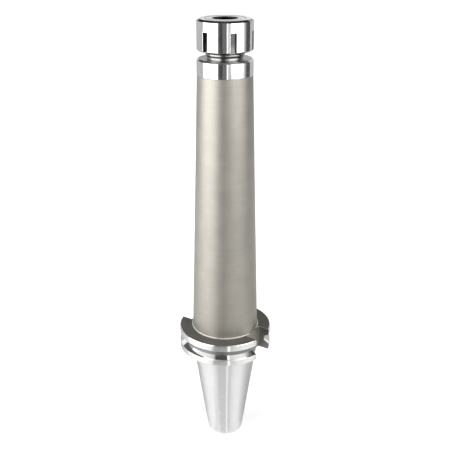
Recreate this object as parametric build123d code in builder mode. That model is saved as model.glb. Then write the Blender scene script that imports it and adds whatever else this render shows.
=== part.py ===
from build123d import *

import math
import os

# A 40-taper V-flange collet chuck holder with a long tapered extension, in millimetres.
# The origin is the centre of the taper's gauge line, and +Z runs up to the clamping nut.
# The nut stands where it would with a collet just gripped, and the stop screw at mid height.

# Taper shank: 7:24, big end at the gauge line
gauge_d = 44.45
shank_length = 68.25
taper_rate = 7 / 24
shank_end_chamfer = 0.8
shank_neck_d = 43.6
shank_neck_width = 1.6

# Retention knob hole in the small end of the shank: pilot bore, then thread at its minor diameter
knob_pilot_d = 16.3
knob_pilot_depth = 4.8
knob_thread_d = 13.64
knob_thread_length = 28.0
drill_tip_angle = 118.0

# V-flange that the tool changer grips, with two drive keyways
flange_d = 63.5
flange_back = 3.18
flange_width = 15.87
flange_edge = 0.5
groove_height = 7.93
groove_width = 7.07
groove_depth = 3.625
groove_angle = 60.0
keyway_width = 16.38
keyway_foot_gap = 0.1
keyway_corner_r = 1.2
keyway_count = 2

# Tapered extension between the flange and the collar
body_foot_d = 45.0
body_foot_blend = 0.7
body_top_d = 35.1
seam_width = 0.5
seam_depth = 0.25

# Ground collar that ends the extension
collar_d = 35.3
collar_length = 10.1
collar_chamfer = 1.1

# Threaded nose that carries the nut, as the cylinder of the thread's crests
nose_thread_d = 25.0
nose_relief_d = 22.7
nose_relief_width = 2.7
nose_length = 16.2
nose_edge = 0.8
thread_clearance = 0.05

# Collet pocket in the nose, the screw thread under it and the coolant bore
pocket_mouth_d = 21.0
pocket_half_angle = 8.0
pocket_length = 25.0
pocket_relief_length = 6.0
pocket_relief_step = 0.1
stop_thread_length = 40.0
coolant_bore_d = 10.0

# Stop screw
stop_screw_d = 12.0
stop_screw_length = 16.0
stop_screw_edge = 0.8
stop_screw_depth = 6.0
stop_socket_width = 6.0
stop_socket_depth = 6.0
stop_hole_d = 4.2

# Clamping nut
projection = 228.6
nut_d = 35.0
nut_height = 19.0
nut_face_chamfer = 1.6
nut_face_chamfer_angle = 36.0
nut_foot_chamfer = 0.7
nut_mouth_chamfer = 0.8
slot_count = 6
slot_width = 3.9
slot_depth = 2.0
slot_height = 12.0
slot_angle = 19.0
nut_collar_gap = 4.8

# Thrust ring that presses on the collet and turns in the nut on a row of balls
ring_d = 24.5
ring_height = 6.0
ring_clearance = 0.05
ring_opening_d = 16.0
ring_land = 1.0
ring_edge = 0.3
ring_cone_angle = 30.0
ring_pocket_d = 19.8
lip_d = 18.8
lip_offset = 0.45
lip_height = 0.8
lip_lead = 0.3
ball_d = 2.5
ball_depth = 2.9
ball_clearance = 0.03

# Plug that closes the hole through which the balls are filled
plug_d = 2.8
plug_angle = 169.0

# Heights worked out from the sizes above
flange_top = flange_back + flange_width
groove_z = flange_back + groove_height
nut_foot_z = projection - nut_height
ball_z = projection - ball_depth
ring_foot_z = projection - ring_height
collar_top = nut_foot_z - nut_collar_gap
collar_foot = collar_top - collar_length
nose_top = collar_top + nose_length
thread_foot = collar_top + nose_relief_width
pocket_foot = nose_top - pocket_length
stop_thread_top = pocket_foot - pocket_relief_length
stop_thread_foot = stop_thread_top - stop_thread_length
stop_screw_top = stop_thread_top - stop_screw_depth
stop_screw_foot = stop_screw_top - stop_screw_length

# Radii worked out from the sizes above
gauge_r = gauge_d / 2
shank_end_r = gauge_r - shank_length * taper_rate / 2
flange_r = flange_d / 2
groove_floor_r = flange_r - groove_depth
groove_floor_width = groove_width - 2 * groove_depth * math.tan(math.radians(groove_angle / 2))
body_foot_r = body_foot_d / 2
keyway_root = body_foot_r + keyway_foot_gap
body_top_r = body_top_d / 2
collar_r = collar_d / 2
nose_r = nose_thread_d / 2
relief_r = nose_relief_d / 2
run_out = nose_r - relief_r
pocket_mouth_r = pocket_mouth_d / 2
pocket_foot_r = pocket_mouth_r - pocket_length * math.tan(math.radians(pocket_half_angle))
pocket_relief_r = pocket_foot_r - pocket_relief_step
nut_r = nut_d / 2
nut_bore_r = nose_r + thread_clearance
face_chamfer_height = nut_face_chamfer * math.tan(math.radians(nut_face_chamfer_angle))
ring_r = ring_d / 2
ring_seat_r = ring_r + ring_clearance
ring_cone_height = (ring_pocket_d - ring_opening_d) / 2 / math.tan(math.radians(ring_cone_angle))
ball_r = ball_d / 2
ball_circle_r = (ring_r + ring_seat_r) / 2
race_r = ball_r + ball_clearance
stop_bore_r = stop_screw_d / 2
stop_screw_r = stop_bore_r - thread_clearance

os.makedirs("parts", exist_ok=True)

# Holder body: shank, V-flange, extension, collar and nose, turned from one bar
with BuildPart() as holder_body:
    with BuildSketch(Plane.XZ) as turned_outline:
        with BuildLine():
            Polyline(
                (0, -shank_length),
                (shank_end_r, -shank_length),
                (gauge_r, 0),
                (gauge_r, flange_back - shank_neck_width),
                (shank_neck_d / 2, flange_back - shank_neck_width),
                (shank_neck_d / 2, flange_back),
                (flange_r, flange_back),
                (flange_r, flange_top),
                (body_foot_r, flange_top),
                (body_top_r, collar_foot - seam_width),
                (body_top_r - seam_depth, collar_foot - seam_width / 2),
                (body_top_r - seam_depth, collar_foot),
                (collar_r, collar_foot),
                (collar_r, collar_top),
                (relief_r, collar_top),
                (relief_r, thread_foot - run_out),
                (nose_r, thread_foot),
                (nose_r, nose_top),
                (0, nose_top),
                close=True,
            )
        make_face()
        corners = turned_outline.vertices()
        chamfer(corners.sort_by_distance((shank_end_r, -shank_length))[0], shank_end_chamfer)
        corners = turned_outline.vertices()
        flange_rims = [
            corners.sort_by_distance((flange_r, flange_back))[0],
            corners.sort_by_distance((flange_r, flange_top))[0],
        ]
        chamfer(flange_rims, flange_edge)
        corners = turned_outline.vertices()
        chamfer(corners.sort_by_distance((body_foot_r, flange_top))[0], body_foot_blend)
        corners = turned_outline.vertices()
        chamfer(corners.sort_by_distance((collar_r, collar_top))[0], collar_chamfer)
        corners = turned_outline.vertices()
        chamfer(corners.sort_by_distance((nose_r, nose_top))[0], nose_edge)
    revolve(axis=Axis.Z)

    # V-groove for the tool changer's gripper
    with BuildSketch(Plane.XZ):
        with BuildLine():
            Polyline(
                (groove_floor_r, groove_z - groove_floor_width / 2),
                (flange_r, groove_z - groove_width / 2),
                (flange_r + flange_edge, groove_z - groove_width / 2),
                (flange_r + flange_edge, groove_z + groove_width / 2),
                (flange_r, groove_z + groove_width / 2),
                (groove_floor_r, groove_z + groove_floor_width / 2),
                close=True,
            )
        make_face()
    revolve(axis=Axis.Z, mode=Mode.SUBTRACT)

    # Drive keyways, milled through the flange and the blend at the extension's foot
    keyway_depth = flange_r - keyway_root
    with BuildSketch(Plane.XY.offset(flange_back)) as keyways:
        with PolarLocations(keyway_root, keyway_count):
            Rectangle(2 * keyway_depth, keyway_width, align=(Align.MIN, Align.CENTER))
        root_corners = keyways.vertices().filter_by(lambda corner: abs(abs(corner.X) - keyway_root) < 0.01)
        fillet(root_corners, keyway_corner_r)
    extrude(amount=flange_width + body_foot_blend, mode=Mode.SUBTRACT)

    # Knob pilot bore, knob thread with its drill point, and the coolant bore
    drill_tip = (knob_thread_d - coolant_bore_d) / 2 / math.tan(math.radians(drill_tip_angle / 2))
    knob_thread_foot = -shank_length + knob_pilot_depth
    knob_thread_end = knob_thread_foot + knob_thread_length
    with BuildSketch(Plane.XZ):
        with BuildLine():
            Polyline(
                (0, -shank_length),
                (knob_pilot_d / 2, -shank_length),
                (knob_pilot_d / 2, knob_thread_foot),
                (knob_thread_d / 2, knob_thread_foot),
                (knob_thread_d / 2, knob_thread_end),
                (coolant_bore_d / 2, knob_thread_end + drill_tip),
                (coolant_bore_d / 2, stop_thread_foot),
                (0, stop_thread_foot),
                close=True,
            )
        make_face()
    revolve(axis=Axis.Z, mode=Mode.SUBTRACT)

    # Stop screw thread, relief and the tapered collet pocket
    with BuildSketch(Plane.XZ):
        with BuildLine():
            Polyline(
                (0, stop_thread_foot),
                (stop_bore_r, stop_thread_foot),
                (stop_bore_r, stop_thread_top),
                (pocket_relief_r, stop_thread_top),
                (pocket_relief_r, pocket_foot),
                (pocket_foot_r, pocket_foot),
                (pocket_mouth_r, nose_top),
                (0, nose_top),
                close=True,
            )
        make_face()
    revolve(axis=Axis.Z, mode=Mode.SUBTRACT)
holder_body.part.label = "holder_body"
export_step(holder_body.part, "parts/holder_body.step")

# Stop screw: a hollow hexagon socket screw that sets how deep a tool goes in
with BuildPart() as stop_screw:
    with BuildSketch(Plane.XY.offset(stop_screw_foot)):
        Circle(stop_screw_r)
        Circle(stop_hole_d / 2, mode=Mode.SUBTRACT)
    extrude(amount=stop_screw_length)
    rims = stop_screw.edges().filter_by(GeomType.CIRCLE)
    chamfer(rims.filter_by(lambda edge: edge.radius > stop_hole_d), stop_screw_edge)
    with BuildSketch(Plane.XY.offset(stop_screw_top)):
        RegularPolygon(stop_socket_width / 2, 6, major_radius=False)
    extrude(amount=-stop_socket_depth, mode=Mode.SUBTRACT)
stop_screw.part.label = "stop_screw"
export_step(stop_screw.part, "parts/stop_screw.step")

# Clamping nut: threaded skirt with spanner slots, and a front bore that carries the thrust ring
with BuildPart() as clamping_nut:
    with BuildSketch(Plane.XZ) as nut_outline:
        with BuildLine():
            Polyline(
                (nut_bore_r, nut_foot_z),
                (nut_r, nut_foot_z),
                (nut_r, projection - face_chamfer_height),
                (nut_r - nut_face_chamfer, projection),
                (ring_seat_r, projection),
                (ring_seat_r, ring_foot_z),
                (nut_bore_r, ring_foot_z),
                close=True,
            )
        make_face()
        corners = nut_outline.vertices()
        chamfer(corners.sort_by_distance((nut_r, nut_foot_z))[0], nut_foot_chamfer)
        corners = nut_outline.vertices()
        chamfer(corners.sort_by_distance((nut_bore_r, nut_foot_z))[0], nut_mouth_chamfer)
        corners = nut_outline.vertices()
        chamfer(corners.sort_by_distance((ring_seat_r, projection))[0], ring_edge)
    revolve(axis=Axis.Z)

    # Spanner slots, open at the foot
    with BuildSketch(Plane.XY.offset(nut_foot_z)):
        with PolarLocations(nut_r - slot_depth, slot_count, start_angle=slot_angle):
            Rectangle(2 * slot_depth, slot_width, align=(Align.MIN, Align.CENTER))
    extrude(amount=slot_height, mode=Mode.SUBTRACT)

    # Ball race, ground as a V that touches the balls
    with BuildSketch(Plane.XZ):
        with Locations((ball_circle_r, ball_z)):
            Rectangle(2 * race_r, 2 * race_r, rotation=45)
    revolve(axis=Axis.Z, mode=Mode.SUBTRACT)

    # Hole through which the balls are filled
    plug_plane = Plane(origin=(0, 0, ball_z), z_dir=Vector(1, 0, 0).rotate(Axis.Z, plug_angle))
    with BuildSketch(plug_plane.offset(ball_circle_r)):
        Circle(plug_d / 2)
    extrude(amount=nut_r, mode=Mode.SUBTRACT)
clamping_nut.part.label = "clamping_nut"
export_step(clamping_nut.part, "parts/clamping_nut.step")

# Thrust ring: front land, cone for the collet's face, and an eccentric lip that pulls the collet out
with BuildPart() as thrust_ring:
    cone_foot = projection - ring_land - ring_cone_height
    lip_foot = ring_foot_z + lip_lead
    with BuildSketch(Plane.XZ) as ring_outline:
        with BuildLine():
            Polyline(
                (ring_opening_d / 2, projection),
                (ring_r, projection),
                (ring_r, ring_foot_z),
                (ring_pocket_d / 2, ring_foot_z),
                (ring_pocket_d / 2, cone_foot),
                (ring_opening_d / 2, projection - ring_land),
                close=True,
            )
        make_face()
        corners = ring_outline.vertices()
        chamfer(corners.sort_by_distance((ring_r, projection))[0], ring_edge)
    revolve(axis=Axis.Z)

    # Eccentric extractor lip, with a lead-in below it
    with BuildSketch(Plane.XY.offset(lip_foot)):
        Circle((ring_pocket_d + ring_d) / 4)
        with Locations((lip_offset, 0)):
            Circle(lip_d / 2, mode=Mode.SUBTRACT)
    extrude(amount=lip_height)

    # Ball race, ground as a V that touches the balls
    with BuildSketch(Plane.XZ):
        with Locations((ball_circle_r, ball_z)):
            Rectangle(2 * race_r, 2 * race_r, rotation=45)
    revolve(axis=Axis.Z, mode=Mode.SUBTRACT)
thrust_ring.part.label = "thrust_ring"
export_step(thrust_ring.part, "parts/thrust_ring.step")

# Plug, ground flush with the nut's outside
with BuildPart() as filling_plug:
    with BuildSketch(plug_plane.offset(ball_circle_r + race_r)):
        Circle(plug_d / 2)
    extrude(amount=nut_r)
    with BuildSketch(Plane.XY.offset(nut_foot_z)):
        Circle(nut_r)
    extrude(amount=nut_height, mode=Mode.INTERSECT)
filling_plug.part.label = "filling_plug"
export_step(filling_plug.part, "parts/filling_plug.step")
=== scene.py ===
# %% [markdown]
# # A collet chuck holder, modelled and lit
# The real thing is a steel tool holder for a milling machine. From the bottom up it has a steep
# taper shank, a V-flange that the tool changer grips, a long tapered extension, a ground collar and
# a threaded nose, and a round slotted nut closes the top. Almost all of it is turned on a lathe, so
# almost every piece here is one outline taken round one axis. The solids come first, as a fixed
# frame from the CAD step, and the visible pieces are modelled again over them with smooth curves,
# real threads and fine edges.

# %% Load the frame
import math

import bpy
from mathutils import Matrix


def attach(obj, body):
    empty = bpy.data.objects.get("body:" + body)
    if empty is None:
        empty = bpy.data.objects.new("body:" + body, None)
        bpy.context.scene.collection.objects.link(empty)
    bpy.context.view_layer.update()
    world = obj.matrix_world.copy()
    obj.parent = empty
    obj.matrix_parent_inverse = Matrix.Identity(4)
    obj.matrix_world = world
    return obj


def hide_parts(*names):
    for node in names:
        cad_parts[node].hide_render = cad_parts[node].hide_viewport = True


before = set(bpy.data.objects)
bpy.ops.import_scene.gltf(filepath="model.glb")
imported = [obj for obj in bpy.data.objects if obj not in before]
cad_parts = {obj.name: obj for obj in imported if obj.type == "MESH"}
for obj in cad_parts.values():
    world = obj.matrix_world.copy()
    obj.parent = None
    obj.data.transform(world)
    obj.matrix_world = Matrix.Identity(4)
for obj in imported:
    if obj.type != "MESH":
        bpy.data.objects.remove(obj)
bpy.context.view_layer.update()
MM = 0.001

# %% [markdown]
# ## The sizes that the picture shares with the solids
# The zero height is the gauge line of the taper. The sizes are in millimetres, because that is how
# such a holder is drawn, and they turn into metres only where a mesh is made. Radii are used all
# the way, since an outline on a lathe is a list of radius and height.

# %% Main radii and heights
taper_rate = 7 / 24
shank_length = 68.25
gauge_r = 22.225
shank_foot_z = -shank_length
shank_foot_r = gauge_r - shank_length * taper_rate / 2
flange_foot_z = 3.18
flange_top_z = 19.05
flange_r = 31.75
body_foot_r = 22.5
body_top_r = 17.55
collar_foot_z = 194.7
collar_top_z = 204.8
collar_r = 17.65
nose_top_z = 221.0
crest_r = 12.5
root_r = 11.6
nut_foot_z = 209.6
nut_top_z = 228.6
nut_r = 17.5
nut_seat_r = 12.3
ring_r = 12.25
ring_foot_z = 222.6
ball_r = 1.25
ball_z = 225.7
ball_circle_r = (nut_seat_r + ring_r) / 2
print("overall length", nut_top_z - shank_foot_z)

# %% [markdown]
# ## Working as by hand
# Each piece starts as a primitive at its size and place and is shaped in edit mode. An operator acts
# on everything that is selected, so these helpers first clear the selection and then make one
# object active. Parts of a mesh are picked by their place or normal, never by their number, so the
# picking still works when a size changes.

# %% Helpers to select, name, place and edit
def nothing():
    bpy.ops.object.select_all(action="DESELECT")


def only(piece):
    nothing()
    piece.select_set(True)
    bpy.context.view_layer.objects.active = piece
    return piece


def join_into(piece, others):
    nothing()
    for other in others:
        other.select_set(True)
    piece.select_set(True)
    bpy.context.view_layer.objects.active = piece
    bpy.ops.object.join()
    return piece


def named(name):
    piece = bpy.context.object
    piece.name = name
    piece.data.name = name
    return piece


def settle():
    bpy.ops.object.transform_apply(location=True, rotation=True, scale=True)


def edit(kind):
    bpy.ops.object.mode_set(mode="EDIT")
    bpy.ops.mesh.select_mode(type=kind)


def done():
    bpy.ops.object.mode_set(mode="OBJECT")


def apply_all(piece):
    only(piece)
    for modifier in list(piece.modifiers):
        bpy.ops.object.modifier_apply(modifier=modifier.name)
    return piece


nothing()
print("helpers ready, nothing selected")

# %% [markdown]
# ## A lathe made of extrusions
# Spin would take an outline round the axis in one go, but the outline then has to be drawn first as
# loose edges. Here the piece grows the way a bar is turned: one circle of edges is extruded to the
# next height and scaled to the next radius, step by step up the outside and down the inside, until
# it meets itself. The last circle lies on the first and is merged with it, which closes the skin.

# %% Turn a piece from its outline
weld_gap = 0.001


def turn(name, outline, segments):
    start_r, start_z = outline[0]
    nothing()
    bpy.ops.mesh.primitive_circle_add(
        vertices=segments, radius=start_r * MM, fill_type="NOTHING", location=(0, 0, start_z * MM)
    )
    piece = named(name)
    settle()
    edit("VERT")
    bpy.ops.mesh.select_all(action="SELECT")
    last_r, last_z = start_r, start_z
    for next_r, next_z in [*outline[1:], outline[0]]:
        bpy.ops.mesh.extrude_region_move(
            TRANSFORM_OT_translate={"value": (0, 0, (next_z - last_z) * MM)}
        )
        grow = next_r / last_r
        bpy.ops.transform.resize(value=(grow, grow, 1), center_override=(0, 0, 0))
        last_r, last_z = next_r, next_z
    bpy.ops.mesh.select_all(action="SELECT")
    bpy.ops.mesh.remove_doubles(threshold=weld_gap * MM)
    bpy.ops.mesh.normals_make_consistent(inside=False)
    done()
    print(name, "turned with", len(piece.data.polygons), "faces")
    return piece


def arc(centre, radius, start_deg, end_deg, steps):
    points = []
    for i in range(steps + 1):
        angle = math.radians(start_deg + (end_deg - start_deg) * i / steps)
        points.append((centre[0] + radius * math.cos(angle), centre[1] + radius * math.sin(angle)))
    return points

# %% [markdown]
# ## Edges and cuts
# No edge on a real part is perfectly sharp. A narrow bevel on every hard edge catches a thin line of
# light, and that line does more for a metal piece than any texture. The sharp edges are found by
# their angle and given a bevel weight, so that a few awkward ones can be spared: where a cut trims a
# small round, a bevel would fold over itself. The normals are then weighted by face area, so that
# flat faces stay flat right up to the bevel.

# %% Finish edges and cut with tools
def soften_edges(piece, width, angle_deg=24, segments=2, spared=None):
    only(piece)
    edit("EDGE")
    bpy.ops.mesh.select_all(action="DESELECT")
    bpy.ops.mesh.edges_select_sharp(sharpness=math.radians(angle_deg))
    done()
    spots = piece.data.vertices
    for edge in piece.data.edges:
        if edge.select and spared:
            middle = (spots[edge.vertices[0]].co + spots[edge.vertices[1]].co) / 2 / MM
            edge.select = not spared(middle)
    edit("EDGE")
    bpy.ops.transform.edge_bevelweight(value=1.0)
    done()
    bpy.ops.object.modifier_add(type="BEVEL")
    bevel = piece.modifiers[-1]
    bevel.width = width * MM
    bevel.segments = segments
    bevel.limit_method = "WEIGHT"
    bevel.use_clamp_overlap = False
    bevel.miter_outer = "MITER_ARC"
    apply_all(piece)


def smooth(piece, angle_deg=32):
    only(piece)
    bpy.ops.object.shade_smooth_by_angle(angle=math.radians(angle_deg))
    bpy.ops.object.modifier_add(type="WEIGHTED_NORMAL")
    weighted = piece.modifiers[-1]
    weighted.keep_sharp = True
    apply_all(piece)
    print(piece.name, "has", sum(len(f.vertices) - 2 for f in piece.data.polygons), "triangles")


def cut(piece, tool, operation="DIFFERENCE"):
    only(piece)
    bpy.ops.object.modifier_add(type="BOOLEAN")
    boolean = piece.modifiers[-1]
    boolean.operation = operation
    boolean.solver = "EXACT"
    boolean.object = tool
    apply_all(piece)
    only(tool)
    bpy.ops.object.delete()
    return only(piece)


def block(name, x_range, y_range, z_range):
    nothing()
    sides = [r[1] - r[0] for r in (x_range, y_range, z_range)]
    middle = [(r[0] + r[1]) / 2 * MM for r in (x_range, y_range, z_range)]
    bpy.ops.mesh.primitive_cube_add(size=MM, location=middle)
    piece = named(name)
    piece.scale = sides
    settle()
    return piece

# %% [markdown]
# ## The holder body
# Shank, flange, extension, collar and nose are one bar of steel on the real part, so they are one
# outline here too. The outline starts at the mouth of the knob hole in the small end, runs up the
# outside, over the nose and down the bore. The V-groove in the flange has 60 degree walls, and a
# thin round bead runs round the foot of the extension, whose brightness is partly a painted highlight.

# %% Outline of the shank
knob_pilot_r = 8.15
shank_chamfer = 0.8
taper_half = math.atan(taper_rate / 2)
gauge_land_z = 1.58
neck_r = 21.8
neck_slope = 0.12
chamfer_top_r = shank_foot_r + shank_chamfer * math.sin(taper_half)
chamfer_top_z = shank_foot_z + shank_chamfer * math.cos(taper_half)
shank_side = [
    (knob_pilot_r, shank_foot_z),
    (shank_foot_r - shank_chamfer, shank_foot_z),
    (chamfer_top_r, chamfer_top_z),
    (gauge_r, 0),
    (gauge_r, gauge_land_z),
    (neck_r, gauge_land_z + neck_slope),
    (neck_r, flange_foot_z),
]
print("shank end", round(2 * shank_foot_r, 2), "mm across")

# %% Outline of the flange
rim_chamfer = 0.5
groove_z = 11.115
groove_half_mouth = 3.535
groove_floor_r = 28.125
groove_half_deg = 30
groove_slope = math.tan(math.radians(groove_half_deg))
groove_half_floor = groove_half_mouth - (flange_r - groove_floor_r) * groove_slope
flange_side = [
    (flange_r - rim_chamfer, flange_foot_z),
    (flange_r, flange_foot_z + rim_chamfer),
    (flange_r, groove_z - groove_half_mouth),
    (groove_floor_r, groove_z - groove_half_floor),
    (groove_floor_r, groove_z + groove_half_floor),
    (flange_r, groove_z + groove_half_mouth),
    (flange_r, flange_top_z - rim_chamfer),
    (flange_r - rim_chamfer, flange_top_z),
]
print("groove floor", round(2 * groove_half_floor, 2), "mm wide")

# %% Outline of the extension with the bead at its foot
bead_r = 23.25
bead_round = 0.45
bead_start_deg = -75
bead_end_deg = 165
bead_steps = 10
bead_top_z = flange_top_z + 2 * bead_round
foot_undercut = 0.1
foot_lead = 0.2
seam_r = 17.3
seam_width = 0.5
seam_slope = 0.25
bead_centre = (bead_r - bead_round, flange_top_z + bead_round)
body_side = arc(bead_centre, bead_round, bead_start_deg, bead_end_deg, bead_steps)
body_side += [
    (body_foot_r - foot_undercut, flange_top_z + bead_round),
    (body_foot_r - foot_undercut, bead_top_z),
    (body_foot_r, bead_top_z + foot_lead),
    (body_top_r, collar_foot_z - seam_width),
    (seam_r, collar_foot_z - seam_width + seam_slope),
    (seam_r, collar_foot_z),
]
print("extension outline", len(body_side), "points")

# %% Outline of the collar and the nose
collar_edge = 1.1
relief_r = 11.35
relief_width = 1.55
land_r = 12.1
land_lift = 2.3
land_width = 1.0
nose_edge = 0.5
pocket_mouth_r = 10.5
land_foot_z = collar_top_z + land_lift
land_top_z = land_foot_z + land_width
collar_side = [
    (collar_r, collar_foot_z),
    (collar_r, collar_top_z - collar_edge),
    (collar_r - collar_edge, collar_top_z),
    (relief_r, collar_top_z),
    (relief_r, collar_top_z + relief_width),
]
nose_side = [
    (land_r, land_foot_z),
    (land_r, land_top_z),
    (root_r, land_top_z + nose_edge),
    (root_r, nose_top_z - nose_edge),
    (root_r - nose_edge, nose_top_z),
    (pocket_mouth_r, nose_top_z),
]
print("nose stands", round(nose_top_z - collar_top_z, 2), "mm above the collar")

# %% Outline of the bore, and the whole holder turned
pocket_length = 25.0
pocket_half_deg = 8.0
pocket_step = 0.1
pocket_foot_z = nose_top_z - pocket_length
pocket_foot_r = pocket_mouth_r - pocket_length * math.tan(math.radians(pocket_half_deg))
stop_thread_r = 6.0
stop_thread_top_z = 190.0
stop_thread_foot_z = 150.0
coolant_r = 5.0
coolant_foot_z = -33.8
knob_bore_r = 6.82
knob_bore_top_z = -35.45
knob_root_r = 7.95
knob_root_top_z = -36.6
knob_pilot_top_z = -63.45
bore_side = [
    (pocket_foot_r, pocket_foot_z),
    (pocket_foot_r - pocket_step, pocket_foot_z),
    (pocket_foot_r - pocket_step, stop_thread_top_z),
    (stop_thread_r, stop_thread_top_z),
    (stop_thread_r, stop_thread_foot_z),
    (coolant_r, stop_thread_foot_z),
    (coolant_r, coolant_foot_z),
    (knob_bore_r, knob_bore_top_z),
    (knob_root_r, knob_root_top_z),
    (knob_root_r, knob_pilot_top_z),
    (knob_pilot_r, knob_pilot_top_z),
]
holder_outline = shank_side + flange_side + body_side + collar_side + nose_side + bore_side
holder_segments = 200
holder = turn("holder_body_turned", holder_outline, holder_segments)

# %% [markdown]
# ## Drive keyways
# Two keyways let the spindle's keys drive the flange. They are milled, so each has a flat root, flat
# flanks and rounded root corners. A block with two rounded edges is the shape that the cutter
# leaves, and a boolean takes it away. The block's edges are rounded first, while it is simple. Its
# top stands above the bead, which it trims, and that trimmed stretch gets no bevel.

# %% Mill the two keyways
keyway_root = 22.6
keyway_half = 8.19
keyway_corner = 1.2
keyway_corner_steps = 5
keyway_reach = 3.0
keyway_tool_top_z = 20.6
cut_spare = 1.0
same_place = 0.01


def keyway_tool(side):
    across = sorted((side * keyway_root, side * (flange_r + keyway_reach)))
    upwards = (flange_foot_z - cut_spare, keyway_tool_top_z)
    tool = block("keyway_tool", across, (-keyway_half, keyway_half), upwards)
    only(tool)
    edit("EDGE")
    bpy.ops.mesh.select_all(action="DESELECT")
    done()
    spots = tool.data.vertices
    for edge in tool.data.edges:
        a, b = (spots[i].co / MM for i in edge.vertices)
        upright = abs(a.z - b.z) > same_place
        edge.select = upright and abs(abs(a.x) - keyway_root) < same_place
    edit("EDGE")
    bpy.ops.mesh.bevel(offset=keyway_corner * MM, segments=keyway_corner_steps, affect="EDGES")
    done()
    return tool


bead_trim_half = 6.2
bead_trim_r = 22.0
bead_trim_low_z = flange_top_z + 0.03


def trimmed_bead(middle):
    in_reach = abs(middle.y) < bead_trim_half and abs(middle.x) > bead_trim_r
    return in_reach and bead_trim_low_z < middle.z < keyway_tool_top_z


for side in (1, -1):
    cut(holder, keyway_tool(side))
soften_edges(holder, width=0.16, spared=trimmed_bead)
smooth(holder)

# %% [markdown]
# ## Threads as swept teeth
# A thread is one tooth section swept along a helix. The Screw modifier does just that: it turns an
# outline round the axis while it lifts it by one pitch a turn. The section is a closed loop whose
# base is sunk into the core, so no gap shows, and the two ends are filled to keep the skin closed.

# %% Cut a thread
thread_weld_gap = 0.0005


def thread(name, base_r, tip_r, pitch, crest_width, foot_width, low_z, turns, steps):
    nothing()
    bpy.ops.mesh.primitive_plane_add(size=MM, location=(0, 0, 0), rotation=(math.pi / 2, 0, 0))
    piece = named(name)
    settle()
    for spot in piece.data.vertices:
        at_tip = (spot.co.x > 0) == (tip_r > base_r)
        half = (crest_width if at_tip else foot_width) / 2
        up = half if spot.co.z > 0 else -half
        spot.co = ((tip_r if at_tip else base_r) * MM, 0, (low_z + foot_width / 2 + up) * MM)
    only(piece)
    edit("FACE")
    bpy.ops.mesh.select_all(action="SELECT")
    bpy.ops.mesh.delete(type="ONLY_FACE")
    done()
    bpy.ops.object.modifier_add(type="SCREW")
    screw = piece.modifiers[-1]
    screw.axis = "Z"
    screw.steps = steps
    screw.render_steps = steps
    screw.screw_offset = pitch * MM
    screw.iterations = turns
    screw.use_smooth_shade = False
    apply_all(piece)
    edit("VERT")
    bpy.ops.mesh.select_all(action="DESELECT")
    bpy.ops.mesh.select_non_manifold()
    bpy.ops.mesh.fill()
    bpy.ops.mesh.select_all(action="SELECT")
    bpy.ops.mesh.remove_doubles(threshold=thread_weld_gap * MM)
    bpy.ops.mesh.normals_make_consistent(inside=False)
    done()
    print(name, turns, "turns,", len(piece.data.polygons), "faces")
    return piece

# %% [markdown]
# ## Nose thread and knob thread
# The nose carries an M25 x 1.5 thread for the nut. Its crests stay inside the 25 mm that the solid
# has. The knob thread in the small end is much coarser, and there the tooth points inwards.

# %% Threads of the holder
nose_thread_sink = 0.3
knob_thread_sink = 0.1
crest_gap = 0.02
nose_thread = thread(
    "nose_thread",
    base_r=root_r - nose_thread_sink,
    tip_r=crest_r - crest_gap,
    pitch=1.5,
    crest_width=0.22,
    foot_width=1.55,
    low_z=208.45,
    turns=7,
    steps=120,
)
smooth(nose_thread, angle_deg=20)
knob_thread = thread(
    "knob_thread",
    base_r=knob_root_r + knob_thread_sink,
    tip_r=knob_bore_r + crest_gap,
    pitch=2.309,
    crest_width=0.3,
    foot_width=2.25,
    low_z=-62.4,
    turns=10,
    steps=96,
)
smooth(knob_thread, angle_deg=20)

# %% [markdown]
# ## The clamping nut
# The nut is a sleeve with a threaded skirt, six spanner slots open at its foot, a chamfered face and
# a bore in front that carries the thrust ring. The V race for the balls is part of its outline. The
# slots are six copies of one block, turned round the axis and joined, so that one cut makes all six.

# %% Turn the nut
ball_gap = 0.03
race_reach = (ball_r + ball_gap) * math.sqrt(2)
race_half = race_reach - (nut_seat_r - ball_circle_r)
nut_bore_r = 12.55
mouth_chamfer = 0.8
foot_chamfer = 0.7
seat_edge = 0.3
face_chamfer = 1.6
face_chamfer_deg = 36
face_chamfer_height = face_chamfer * math.tan(math.radians(face_chamfer_deg))
nut_outline = [
    (nut_bore_r + mouth_chamfer, nut_foot_z),
    (nut_r - foot_chamfer, nut_foot_z),
    (nut_r, nut_foot_z + foot_chamfer),
    (nut_r, nut_top_z - face_chamfer_height),
    (nut_r - face_chamfer, nut_top_z),
    (nut_seat_r + seat_edge, nut_top_z),
    (nut_seat_r, nut_top_z - seat_edge),
    (nut_seat_r, ball_z + race_half),
    (ball_circle_r + race_reach, ball_z),
    (nut_seat_r, ball_z - race_half),
    (nut_seat_r, ring_foot_z),
    (nut_bore_r, ring_foot_z),
    (nut_bore_r, nut_foot_z + mouth_chamfer),
]
nut_segments = 192
nut = turn("clamping_nut_turned", nut_outline, nut_segments)

# %% Cut the six spanner slots
slot_count = 6
slot_first_deg = 19.0
slot_half = 1.95
slot_floor_r = 15.5
slot_height = 12.0
slot_reach = 2.0
slot_top_z = nut_foot_z + slot_height


def slot_tools():
    inwards = (slot_floor_r, nut_r + slot_reach)
    upwards = (nut_foot_z - cut_spare, slot_top_z)
    first = block("slot_tool", inwards, (-slot_half, slot_half), upwards)
    tools = [first]
    for i in range(1, slot_count):
        only(first)
        bpy.ops.object.duplicate(linked=False)
        tools.append(bpy.context.object)
    for i, tool in enumerate(tools):
        only(tool)
        tool.rotation_euler = (0, 0, math.radians(slot_first_deg + i * 360 / slot_count))
        settle()
    return join_into(first, tools)


cut(nut, slot_tools())
soften_edges(nut, width=0.14)
smooth(nut)

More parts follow.
